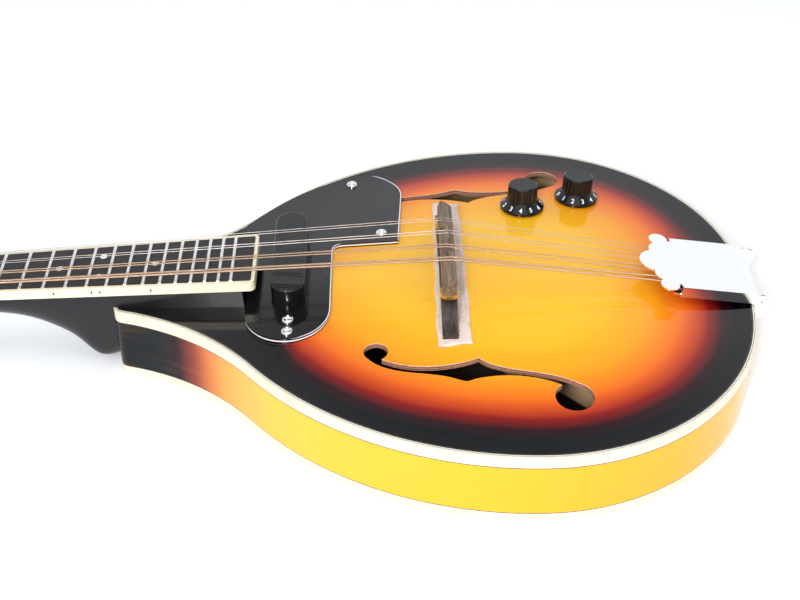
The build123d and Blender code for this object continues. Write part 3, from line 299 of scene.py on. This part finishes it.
def paint_top():
    """Sunburst outside, plies on the cut edges of the sound holes, bare wood inside."""
    look = Look("top_sunburst", **LACQUER)
    depth = edge_distance(look)
    cloud = (look.noise(16.0, 2.0) - 0.5) * 0.004
    heel = look.x.rise(HEEL_FROM, HEEL_TO) * HEEL_SHADE
    burst = look.ramp(((depth + cloud - heel) / TOP_BURST).clamp(),
                      (0.06, (0.003, 0.0025, 0.003)), (0.15, (0.008, 0.002, 0.003)),
                      (0.22, (0.065, 0.004, 0.004)), (0.30, (0.31, 0.024, 0.006)),
                      (0.42, (0.68, 0.125, 0.008)), (0.58, (0.78, 0.27, 0.009)),
                      (0.80, (0.80, 0.38, 0.012)), (0.98, (0.82, 0.44, 0.018)))
    grain = wood_grain(look)
    inner = depth.rise(0.024, 0.055)
    shaded = look.mix(grain.rise(0.45, 0.8) * inner * 0.10, burst, (0.45, 0.10, 0.01))
    layer = arch_field(look)
    plies = look.ramp(((layer * -1.0) / TOP_THICKNESS).clamp(),
                      (0.0, (0.80, 0.62, 0.45)), (0.14, (0.74, 0.52, 0.36)),
                      (0.22, (0.30, 0.13, 0.09)), (0.48, (0.34, 0.15, 0.10)),
                      (0.56, (0.60, 0.40, 0.30)), (0.64, (0.30, 0.13, 0.085)),
                      (0.86, (0.34, 0.15, 0.10)), (1.0, (0.55, 0.36, 0.24)))
    streaks = look.mix(look.noise(900.0, 2.0).rise(0.4, 0.7) * 0.4, plies, (0.10, 0.04, 0.025))
    up = look.normal()[2]
    cut = look.mix(up > FACES_UP, streaks, shaded)
    look.colour(look.mix(up < FACES_DOWN, cut, bare_wood(look)))
    look.roughness(0.10, 0.03, 30.0)
    look.bump(look.noise(45.0, 2.0), 0.00004)
    look.on("top_plate")


def paint_sides():
    """Black at the neck, then yellow all the way round to the tail, with painted light in the
    yellow.
    """
    look = Look("side_sunburst", Specular_IOR_Level=0.28)
    along = ((look.x + (look.noise(20.0, 2.0) - 0.5) * 0.006) - NECK_END_X) / SIDE_BURST
    # The black-to-yellow burst is the finish. The yellow stops hold painted light: brightest near
    # the neck end, a little darker towards the tail, then a painted highlight at the tail end.
    burst = look.ramp(along.clamp(),
                      (0.0, (0.004, 0.003, 0.005)), (0.080, (0.005, 0.003, 0.004)),
                      (0.108, (0.060, 0.008, 0.009)), (0.138, (0.34, 0.075, 0.024)),
                      (0.172, (0.73, 0.27, 0.05)), (0.24, (0.82, 0.42, 0.045)),
                      (0.40, (0.82, 0.41, 0.025)), (0.85, (0.80, 0.36, 0.020)),
                      (1.0, (0.84, 0.44, 0.06)))
    figure = look.noise(1.0, 3.0, look.stretched(26.0, 26.0, 220.0), 0.5)
    shaded = look.mix(figure.rise(0.5, 0.85) * 0.12, burst, (0.62, 0.25, 0.02))
    inside = edge_distance(look) > 0.5 * BINDING
    look.colour(look.mix(inside, shaded, bare_wood(look)))
    look.roughness(0.13, 0.03, 30.0)
    look.bump(look.noise(60.0, 2.0), 0.00003)
    look.on("rim")


def paint_back():
    """Dark red outside. Inside, the wood in shade and the lit patch under the sound hole."""
    look = Look("back_lacquer", **LACQUER)
    depth = edge_distance(look)
    grain = wood_grain(look, 10.0, 260.0)
    burst = look.ramp((depth / BACK_BURST).clamp(), (0.05, (0.012, 0.004, 0.003)),
                      (0.25, (0.07, 0.015, 0.008)), (0.55, (0.20, 0.05, 0.02)),
                      (0.9, (0.32, 0.10, 0.035)), (1.0, (0.34, 0.11, 0.04)))
    outer = look.mix(grain.rise(0.4, 0.8) * 0.5, burst, (0.06, 0.015, 0.008))
    lit = (look.x + look.y).rise(LIT_FROM, LIT_TO)
    lit_wood = look.mix(grain, PALE_WOOD_LIT, PALE_WOOD_LIT_DARK)
    inner = look.mix(lit, SHADED_WOOD, lit_wood)
    look.colour(look.mix(look.normal()[2] > 0.5, outer, inner))
    look.roughness(0.14, 0.04, 30.0)
    look.bump(grain, 0.00002)
    look.on("back_plate")


def paint_bindings():
    cream, cream_warm = (0.70, 0.64, 0.49), (0.62, 0.52, 0.34)
    black, white = (0.008, 0.008, 0.009), (0.82, 0.80, 0.74)
    look = Look("top_binding_cream", **LACQUER)
    depth = edge_distance(look)
    aged = look.mix(look.noise(35.0, 4.0).rise(0.35, 0.8) * 0.55, cream, cream_warm)
    top_face = look.normal()[2] > 0.7
    lines = (depth.between(1.00 * MM, 1.28 * MM) + depth.between(1.72 * MM, 2.1 * MM)).clamp()
    pinstripe = look.mix(depth > 1.0 * MM, aged, white)
    look.colour(look.mix(top_face, aged, look.mix(lines, pinstripe, black)))
    look.roughness(0.16, 0.05)
    look.bump(look.noise(120.0, 2.0), 0.00003)
    look.on("top_binding")

    look = Look("cream_binding", **LACQUER)
    aged = look.mix(look.noise(35.0, 4.0).rise(0.35, 0.8) * 0.55, cream, cream_warm)
    look.colour(aged)
    look.roughness(0.18, 0.05)
    look.bump(look.noise(120.0, 2.0), 0.00003)
    look.on("back_binding", "fretboard_binding")

    look = Look("purfling_line", Coat_Weight=0.5)
    look.colour(look.mix(look.noise(200.0).rise(0.4, 0.7), (0.02, 0.014, 0.010),
                         (0.06, 0.035, 0.02)))
    look.roughness(0.25, 0.06)
    look.on("purfling")


def paint_bare_wood():
    look = Look("bare_wood")
    look.colour(bare_wood(look))
    look.roughness(0.68, 0.08)
    look.bump(wood_grain(look, 30.0, 900.0), 0.00008)
    look.on("linings", "neck_block", "tail_block", "braces")


# ---- materials: neck and headstock ---------------------------------------------------------

def paint_neck():
    look = Look("neck_lacquer", **LACQUER)
    far = 1.0 - look.x.rise(-0.44, -0.30)
    tone = look.mix(far * 0.8, (0.006, 0.005, 0.007), (0.045, 0.012, 0.010))
    figure = wood_grain(look, 18.0, 320.0)
    look.colour(look.mix(figure.rise(0.45, 0.8) * far * 0.5, tone, (0.09, 0.024, 0.015)))
    look.roughness(0.13, 0.04, 40.0)
    look.bump(look.noise(40.0, 2.0), 0.00004)
    look.on("neck", "neck_extension")


def paint_head_veneer():
    look = Look("head_black", **LACQUER)
    look.colour(look.mix(wood_grain(look) * 0.6, (0.005, 0.005, 0.006), (0.014, 0.012, 0.012)))
    look.roughness(0.08, 0.03, 40.0)
    look.bump(look.noise(50.0, 2.0), 0.00004)
    look.on("headstock_veneer")


def rosewood(name, light, dark, along, across):
    """Dark wood with pores; along and across are noise scales for the fibre and the pores."""
    look = Look(name, Specular_IOR_Level=0.35)
    fibre = look.noise(1.0, 6.0, look.stretched(*along), 0.65)
    pores = look.noise(1.0, 2.0, look.stretched(*across), 0.5).rise(0.62, 0.72)
    look.colour(look.mix(pores * 0.85, look.mix(fibre.rise(0.3, 0.75), dark, light),
                         (0.008, 0.005, 0.004)))
    look.link(pores * 0.25 + 0.45, look.shader.inputs["Roughness"])
    look.bump(fibre - pores * 0.8, 0.00012)
    return look


def paint_rosewood():
    board = rosewood("fretboard_rosewood", (0.032, 0.025, 0.024), (0.010, 0.008, 0.008),
                     (30.0, 900.0, 900.0), (160.0, 2600.0, 2600.0))
    board.on("fretboard")
    bridge_grain = ((900.0, 35.0, 500.0), (2600.0, 180.0, 1600.0))
    # The base is dark rosewood, made darker still as painted shade; it is the same wood as the
    # saddle.
    base = rosewood("bridge_rosewood", (0.070, 0.050, 0.044), (0.016, 0.011, 0.010),
                    *bridge_grain)
    base.on("bridge_base")
    # Painted light: the saddle is the same rosewood as the base, made much paler where its top
    # faces catch the light.
    saddle = rosewood("saddle_rosewood_painted_light", (0.26, 0.18, 0.115), (0.07, 0.048, 0.034),
                      *bridge_grain)
    saddle.on("bridge_saddle")


TUNERS = range(1, 9)


def metal(name, colour, rough, spread, scratch=0.00001, specks=(0.0, (0, 0, 0)), streak=None):
    """Metal with stains (share, colour) and scratches, drawn out where streak gives scales."""
    look = Look(name, Metallic=1.0)
    stain = look.noise(260.0, 4.0).rise(0.55, 0.8) * specks[0]
    tone = look.mix(look.noise(90.0, 3.0) * 0.3, colour, tuple(c * 0.86 for c in colour))
    look.colour(look.mix(stain, tone, specks[1]))
    look.roughness(rough, spread, 90.0)
    place = look.stretched(*streak) if streak else look.position
    look.bump(look.noise(1.0 if streak else 700.0, 3.0, place), scratch)
    return look


def paint_metals():
    metal("chrome", (0.93, 0.94, 0.95), 0.07, 0.03, 0.000004).on(
        "tailpiece_base", "tuner_plates", "post_bushings", "output_jack",
        *[f"tuner_post_{i}" for i in TUNERS])
    metal("cover_chrome", (0.95, 0.955, 0.96), 0.10, 0.03, 0.000004).on("tailpiece_cover")
    metal("screw_chrome", (0.86, 0.85, 0.83), 0.16, 0.06, 0.00002,
          (0.5, (0.30, 0.27, 0.22))).on("body_screws", "headstock_screws")
    metal("fret_wire", (0.80, 0.81, 0.81), 0.22, 0.06, 0.00001,
          (0.25, (0.35, 0.33, 0.28)), (900.0, 60.0, 900.0)).on("frets")
    metal("rod_steel", (0.55, 0.55, 0.56), 0.34, 0.08, 0.00002,
          (0.3, (0.30, 0.28, 0.25))).on("truss_rod", "volume_shaft", "tone_shaft",
                                        "potentiometers")
    metal("machined_brass", (0.82, 0.60, 0.24), 0.24, 0.08, 0.00002,
          (0.5, (0.32, 0.19, 0.07))).on("bridge_studs", "thumbwheel_bass", "thumbwheel_treble")


def paint_strings():
    look = Look("plain_steel", Metallic=1.0)
    look.colour(look.mix(look.noise(300.0), (0.62, 0.56, 0.52), (0.44, 0.38, 0.34)))
    look.roughness(0.36, 0.06)
    look.bump(look.noise(1.0, 2.0, look.stretched(300.0, 4000.0, 4000.0)), 0.00002)
    look.on("plain_strings")

    look = Look("wound_bronze", Metallic=1.0)
    turns = look.node("ShaderNodeTexWave", wave_type="BANDS", bands_direction="X")
    look.link(look.position, turns.inputs["Vector"])
    turns.inputs["Scale"].default_value = 900.0
    winding = Field(look, turns.outputs[1])
    # The colour is darker in the grooves between the turns and lighter on their crests: painted
    # shade and painted highlight, on top of the bump.
    tone = look.mix(winding, (0.30, 0.17, 0.10), (0.88, 0.66, 0.48))
    look.colour(look.mix(look.noise(120.0).rise(0.5, 0.8) * 0.4, tone, (0.50, 0.34, 0.25)))
    look.roughness(0.30, 0.08)
    look.bump(winding, 0.00006)
    look.on("wound_strings")


# ---- materials: plastics and small parts ---------------------------------------------------

KEY_BUTTON_Y = 29.5 * MM                      # a key's pearl button starts this far out
GUARD_PLY = (0.75 * MM, 1.6 * MM)             # white ply, above the top


def plastic(name, colour, rough, spread, ripple=0.00002, **values):
    """Dark moulded plastic with a little dust."""
    look = Look(name, **values)
    dust = look.noise(500.0, 2.0).rise(0.68, 0.74) * 0.10
    tone = look.mix(look.noise(25.0, 3.0) * 0.6, colour, tuple(c * 1.4 + 0.001 for c in colour))
    look.colour(look.mix(dust, tone, (0.10, 0.10, 0.11)))
    look.roughness(rough, spread, 80.0)
    look.bump(look.noise(70.0, 3.0), ripple)
    return look


def paint_plastics():
    black = (0.006, 0.006, 0.007)
    look = Look("pickguard_ply", Specular_IOR_Level=0.44)
    layer = arch_field(look)
    edge = layer.between(*GUARD_PLY)
    dust = look.noise(420.0, 2.0).rise(0.70, 0.75) * 0.12
    tone = look.mix(dust, black, (0.25, 0.25, 0.26))
    look.colour(look.mix(edge, tone, (0.78, 0.76, 0.78)))
    look.roughness(0.09, 0.04, 50.0)
    look.bump(look.noise(28.0, 2.0), 0.00005)
    look.on("pickguard")

    plastic("pickup_black", (0.004, 0.004, 0.005), 0.13, 0.04,
            Specular_IOR_Level=0.42).on("pickup_cover")
    plastic("rod_cover_black", black, 0.12, 0.04).on("truss_rod_cover")
    plastic("side_dot_black", black, 0.3, 0.05).on("side_dots")
    plastic("knob_black", (0.003, 0.003, 0.004), 0.22, 0.05, 0.00001,
            Specular_IOR_Level=0.34).on("volume_knob", "tone_knob")
    plastic("potted_coil", (0.04, 0.03, 0.025), 0.5, 0.1, 0.0002).on("pickup_core")

    look = Look("pearl_dot", Coat_Weight=0.5)
    swirl = look.noise(260.0, 3.0)
    look.colour(look.ramp(swirl, (0.30, (0.62, 0.66, 0.60)), (0.45, (0.80, 0.80, 0.74)),
                          (0.60, (0.82, 0.74, 0.72)), (0.75, (0.66, 0.72, 0.78))))
    look.roughness(0.2, 0.05)
    look.on("fret_markers")

    look = Look("bone", Subsurface_Weight=0.1)
    look.colour(look.mix(look.noise(1.0, 4.0, look.stretched(300.0, 40.0, 900.0)).rise(0.4, 0.8),
                         (0.78, 0.72, 0.57), (0.64, 0.54, 0.36)))
    look.roughness(0.32, 0.06)
    look.bump(look.noise(500.0), 0.00002)
    look.on("nut")

    look = Look("tuner_key_look", Coat_Weight=0.2)
    button = look.y.abs() > KEY_BUTTON_Y
    pearl = look.ramp(look.noise(140.0, 3.0), (0.3, (0.70, 0.66, 0.56)), (0.5, (0.84, 0.81, 0.72)),
                      (0.7, (0.74, 0.73, 0.68)))
    steel = look.mix(look.noise(300.0) * 0.5, (0.82, 0.82, 0.83), (0.60, 0.60, 0.60))
    look.colour(look.mix(button, steel, pearl))
    look.link(1.0 - button, look.shader.inputs["Metallic"])
    look.roughness(0.22, 0.05)
    look.on(*[f"tuner_key_{i}" for i in TUNERS])


# ---- pieces made here ----------------------------------------------------------------------

def mesh_object(name, bm, look):
    """A smooth object from a bmesh, riding on the instrument."""
    data = bpy.data.meshes.new(name)
    bmesh.ops.recalc_face_normals(bm, faces=bm.faces)
    bm.to_mesh(data)
    bm.free()
    for polygon in data.polygons:
        polygon.use_smooth = True
    data.materials.append(look.material)
    made = bpy.data.objects.new(name, data)
    bpy.context.scene.collection.objects.link(made)
    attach(made, "instrument")
    return made


def foam_look():
    look = Look("packing_foam", Subsurface_Weight=0.25)
    cells = look.node("ShaderNodeTexVoronoi", feature="F1")
    cells.inputs["Scale"].default_value = 900.0
    look.link(look.position, cells.inputs["Vector"])
    cell = Field(look, cells.outputs["Distance"])
    look.colour(look.mix(look.noise(120.0, 4.0).rise(0.35, 0.7), (0.86, 0.62, 0.51),
                         (0.78, 0.51, 0.41)))
    look.roughness(0.85, 0.05)
    look.bump(cell + look.noise(160.0, 3.0) * 2.0, 0.0003)
    return look


FOAM_THICK = 1.0 * MM
FOAM_LIFT = 0.05 * MM
FOAM_END = 1.0 * MM                           # inside the CAD pad at each end
FOAM_SIDE = 0.6 * MM                          # and at each side
FOAM_ROWS, FOAM_COLUMNS = 80, 12


def make_foam():
    """Thin foam sheet under the bridge: it follows the arch, and its cut edges wander."""
    low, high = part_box("foam_pad")
    rows, columns = FOAM_ROWS, FOAM_COLUMNS
    bm = bmesh.new()
    grid = []
    for i in range(rows + 1):
        t = i / rows
        y = low.y + FOAM_END + t * (high.y - low.y - 2 * FOAM_END)
        narrow = 2.4 * MM * max(0.0, t - 0.15)
        left = low.x + FOAM_SIDE + narrow + 0.35 * MM * math.sin(31 * t + 0.7)
        right = high.x - FOAM_SIDE - 0.5 * narrow + 0.30 * MM * math.sin(23 * t + 2.1)
        row = []
        for j in range(columns + 1):
            s = j / columns
            x = left + s * (right - left)
            wander = 0.9 * MM * math.sin(5.2 * s + 0.6)
            end = wander * (1 - 2 * t) ** 4 * math.copysign(1, t - 0.5)
            row.append((x, y + end))
        grid.append(row)
    upper, lower = ([[bm.verts.new((x, y, RIM_Z + arch(x, y) + lift)) for x, y in row]
                     for row in grid] for lift in (FOAM_THICK, FOAM_LIFT))
    for i in range(rows):
        for j in range(columns):
            bm.faces.new((upper[i][j], upper[i][j + 1], upper[i + 1][j + 1], upper[i + 1][j]))
            bm.faces.new((lower[i][j], lower[i + 1][j], lower[i + 1][j + 1], lower[i][j + 1]))
    rim = ([(i, 0) for i in range(rows)] + [(rows, j) for j in range(columns)]
           + [(i, columns) for i in range(rows, 0, -1)] + [(0, j) for j in range(columns, 0, -1)])
    for (a, b), (c, d) in zip(rim, rim[1:] + rim[:1]):
        bm.faces.new((upper[a][b], upper[c][d], lower[c][d], lower[a][b]))
    foam = mesh_object("foam_sheet", bm, foam_look())
    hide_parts("foam_pad")


PLY_LINE = 0.6 * MM                           # widest, where the edge faces the tail
PLY_LINE_LEAST = 0.05 * MM
PLY_LINE_INSET = 0.02 * MM
PLY_LINE_LIFT = 0.04 * MM


def make_guard_line():
    """White ply along the pickguard's upper edge, where that edge faces the tail."""
    bm = bmesh.new()
    bm.from_mesh(NODES["pickguard"].data)
    bmesh.ops.remove_doubles(bm, verts=bm.verts, dist=0.002 * MM)
    corners = [e for e in bm.edges if len(e.link_faces) == 2
               and max(f.normal.z for f in e.link_faces) > 0.9
               and abs(min(f.normal.z for f in e.link_faces)) < 0.5]
    upper = [e for e in corners
             if all(v.co.z - RIM_Z - arch(v.co.x, v.co.y) > 1.5 * MM for v in e.verts)]
    ways = {}
    for e in upper:
        a, b = e.verts
        ways.setdefault(a, []).append(b)
        ways.setdefault(b, []).append(a)
    loops = []
    while ways:
        start = next(iter(ways))
        loop, here = [start], start
        while ways.get(here):
            following = ways[here].pop()
            ways[following].remove(here)
            loop.append(following)
            here = following
        for v in loop:
            if not ways.get(v):
                ways.pop(v, None)
        loops.append([v.co.copy() for v in loop])
    outline = max(loops, key=len)
    if (outline[0] - outline[-1]).length < 1e-7:
        outline.pop()
    area = sum(a.x * b.y - b.x * a.y for a, b in zip(outline, outline[1:] + outline[:1]))
    turn = 1 if area > 0 else -1
    bm.free()
    strip = bmesh.new()
    count = len(outline)
    pairs = []
    for i, point in enumerate(outline):
        way = (outline[(i + 1) % count] - outline[i - 1]).normalized()
        inward = Vector((-way.y, way.x, 0)) * turn
        width = PLY_LINE * min(1.0, (-inward.x - 0.05) / 0.35)
        if width <= PLY_LINE_LEAST:
            pairs.append(None)
            continue
        pairs.append([strip.verts.new((point.x + inward.x * step, point.y + inward.y * step,
                                       point.z + PLY_LINE_LIFT))
                      for step in (PLY_LINE_INSET, width)])
    for i, pair in enumerate(pairs):
        after = pairs[(i + 1) % count]
        if pair and after:
            strip.faces.new((pair[0], after[0], after[1], pair[1]))
    look = Look("guard_ply_line")
    look.colour(look.mix(look.noise(200.0), (0.74, 0.72, 0.76), (0.62, 0.60, 0.64)))
    look.roughness(0.3, 0.08)
    look.bump(look.noise(400.0), 0.00001)
    line = mesh_object("pickguard_ply_line", strip, look)


def numeral_look():
    look = Look("dial_white")
    look.colour(look.mix(look.noise(900.0).rise(0.4, 0.7) * 0.5, (0.82, 0.84, 0.86),
                         (0.66, 0.68, 0.70)))
    look.roughness(0.45, 0.08)
    look.bump(look.noise(1500.0), 0.00001)
    return look


KNOB_GRIP = (8.6 * MM, 6.2 * MM)              # radius and height where the skirt starts
KNOB_SKIRT = (12.5 * MM, 2.4 * MM)            # and where it ends
NUMERAL_HEIGHT = 2.7 * MM
NUMERAL_LIFT = 0.05 * MM
NUMERAL_STEP = math.radians(31)
DIAL_FRONTS = (("volume", 4.3), ("tone", 2.6))    # the reading that faces the bass side


def numeral_mesh(text, height):
    """Flat raised digits in the XY plane, centred on the origin."""
    curve = bpy.data.curves.new("numeral", "FONT")
    curve.body = text
    curve.size = height * 1.4
    curve.align_x = "CENTER"
    curve.align_y = "CENTER"
    curve.extrude = 0.03 * MM
    curve.offset = 0.05 * MM
    curve.resolution_u = 4
    holder = bpy.data.objects.new("numeral", curve)
    bpy.context.scene.collection.objects.link(holder)
    bpy.context.view_layer.update()
    mesh = bpy.data.meshes.new_from_object(holder)
    bpy.data.objects.remove(holder)
    bpy.data.curves.remove(curve)
    return mesh


def make_dials():
    """White numbers 0 to 10 on each knob's sloped skirt."""
    look = numeral_look()
    (grip_r, grip_z), (skirt_r, skirt_z) = KNOB_GRIP, KNOB_SKIRT
    slope = math.atan2(grip_z - skirt_z, skirt_r - grip_r)
    middle_r = 0.40 * grip_r + 0.60 * skirt_r
    middle_z = 0.40 * grip_z + 0.60 * skirt_z
    joints = {j["name"]: j for j in frame["joints"]}
    for name, front in DIAL_FRONTS:
        joint = joints[f"{name}_turn"]
        base = Vector(joint["pos_m"])
        axis = Vector(joint["axis"])
        across = Vector((0, 1, 0)).cross(axis).normalized()
        away = axis.cross(across)
        for number in range(11):
            turn = (number - front) * NUMERAL_STEP - math.pi / 2
            outward = across * math.cos(turn) + away * math.sin(turn)
            normal = (outward * math.sin(slope) + axis * math.cos(slope)).normalized()
            sideways = axis.cross(outward).normalized()
            up = normal.cross(sideways)
            place = base + outward * middle_r + axis * middle_z + normal * NUMERAL_LIFT
            mesh = numeral_mesh(str(number), NUMERAL_HEIGHT)
            matrix = Matrix((sideways, up, normal)).transposed().to_4x4()
            matrix.translation = place
            mesh.transform(matrix)
            mesh.materials.append(look.material)
            piece = bpy.data.objects.new(f"{name}_number_{number}", mesh)
            bpy.context.scene.collection.objects.link(piece)
            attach(piece, f"{name}_control")


# ---- studio --------------------------------------------------------------------------------

FLOOR_HALF = 6.0
WORLD_WHITE = (0.60, (0.94, 0.965, 1.0))      # place on the ramp from horizon to zenith, colour
WORLD_GREY = (0.78, (0.17, 0.18, 0.20))
WORLD_STRENGTH = 1.08
# name, place, target, size (m), power (W)
LIGHTS = (("overhead", (-0.1, -0.15, 1.7), (-0.05, 0, 0), (1.6, 1.2), 12.0),
          ("key", (-0.34, -1.13, 0.86), (0.0, -0.05, 0.04), (0.22, 0.22), 14.0),
          ("front_fill", (0.3, -1.7, 0.5), (-0.05, 0, 0.03), (1.8, 0.7), 8.0))
CAMERA_PLACE = Vector((-0.0806, -0.5805, 0.4809))
CAMERA_TARGET = Vector((-0.07032, -0.01470, 0.0426))
CAMERA_ROLL = math.radians(0.18)
CAMERA_LENS = 60.65                           # mm, on a sensor 36 mm wide


def make_floor():
    bm = bmesh.new()
    bmesh.ops.create_grid(bm, x_segments=1, y_segments=1, size=FLOOR_HALF)
    data = bpy.data.meshes.new("floor")
    bm.to_mesh(data)
    bm.free()
    floor = bpy.data.objects.new("floor", data)
    floor.location = (0, 0, -0.1 * MM)
    bpy.context.scene.collection.objects.link(floor)
    look = Look("floor_paper", Roughness=0.9)
    look.colour(look.mix(look.noise(3.0), (0.90, 0.915, 0.94), (0.92, 0.93, 0.95)))
    data.materials.append(look.material)


def make_light(name, place, target, size, power):
    data = bpy.data.lights.new(name, "AREA")
    data.shape = "RECTANGLE"
    data.size, data.size_y = size
    data.energy = power
    lamp = bpy.data.objects.new(name, data)
    lamp.location = place
    lamp.rotation_euler = (Vector(target) - Vector(place)).to_track_quat("-Z", "Y").to_euler()
    bpy.context.scene.collection.objects.link(lamp)


def make_world():
    """White round the horizon, darker overhead, as in a tent of white paper."""
    world = bpy.data.worlds.new("studio")
    world.use_nodes = True
    bpy.context.scene.world = world
    tree = world.node_tree
    coordinates = tree.nodes.new("ShaderNodeTexCoord")
    parts = tree.nodes.new("ShaderNodeSeparateXYZ")
    tree.links.new(coordinates.outputs["Generated"], parts.inputs[0])
    ramp = tree.nodes.new("ShaderNodeValToRGB")
    for element, (place, colour) in zip(ramp.color_ramp.elements, (WORLD_WHITE, WORLD_GREY)):
        element.position = place
        element.color = (*colour, 1)
    tree.links.new(parts.outputs[2], ramp.inputs[0])
    background = tree.nodes["Background"]
    tree.links.new(ramp.outputs[0], background.inputs["Color"])
    background.inputs["Strength"].default_value = WORLD_STRENGTH


def make_camera():
    data = bpy.data.cameras.new("camera")
    data.lens = CAMERA_LENS
    data.sensor_width = 36.0
    data.clip_start, data.clip_end = 0.01, 50
    camera = bpy.data.objects.new("camera", data)
    aim = (CAMERA_TARGET - CAMERA_PLACE).to_track_quat("-Z", "Y").to_matrix().to_4x4()
    roll = Matrix.Rotation(CAMERA_ROLL, 4, "Z")
    camera.matrix_world = Matrix.Translation(CAMERA_PLACE) @ aim @ roll
    bpy.context.scene.collection.objects.link(camera)
    bpy.context.scene.camera = camera


paint_top()
paint_sides()
paint_back()
paint_bindings()
paint_bare_wood()
paint_neck()
paint_head_veneer()
paint_rosewood()
paint_metals()
paint_strings()
paint_plastics()
make_foam()
make_guard_line()
make_dials()

make_floor()
make_world()
for light in LIGHTS:
    make_light(*light)
make_camera()
bpy.context.scene.view_settings.view_transform = "Standard"
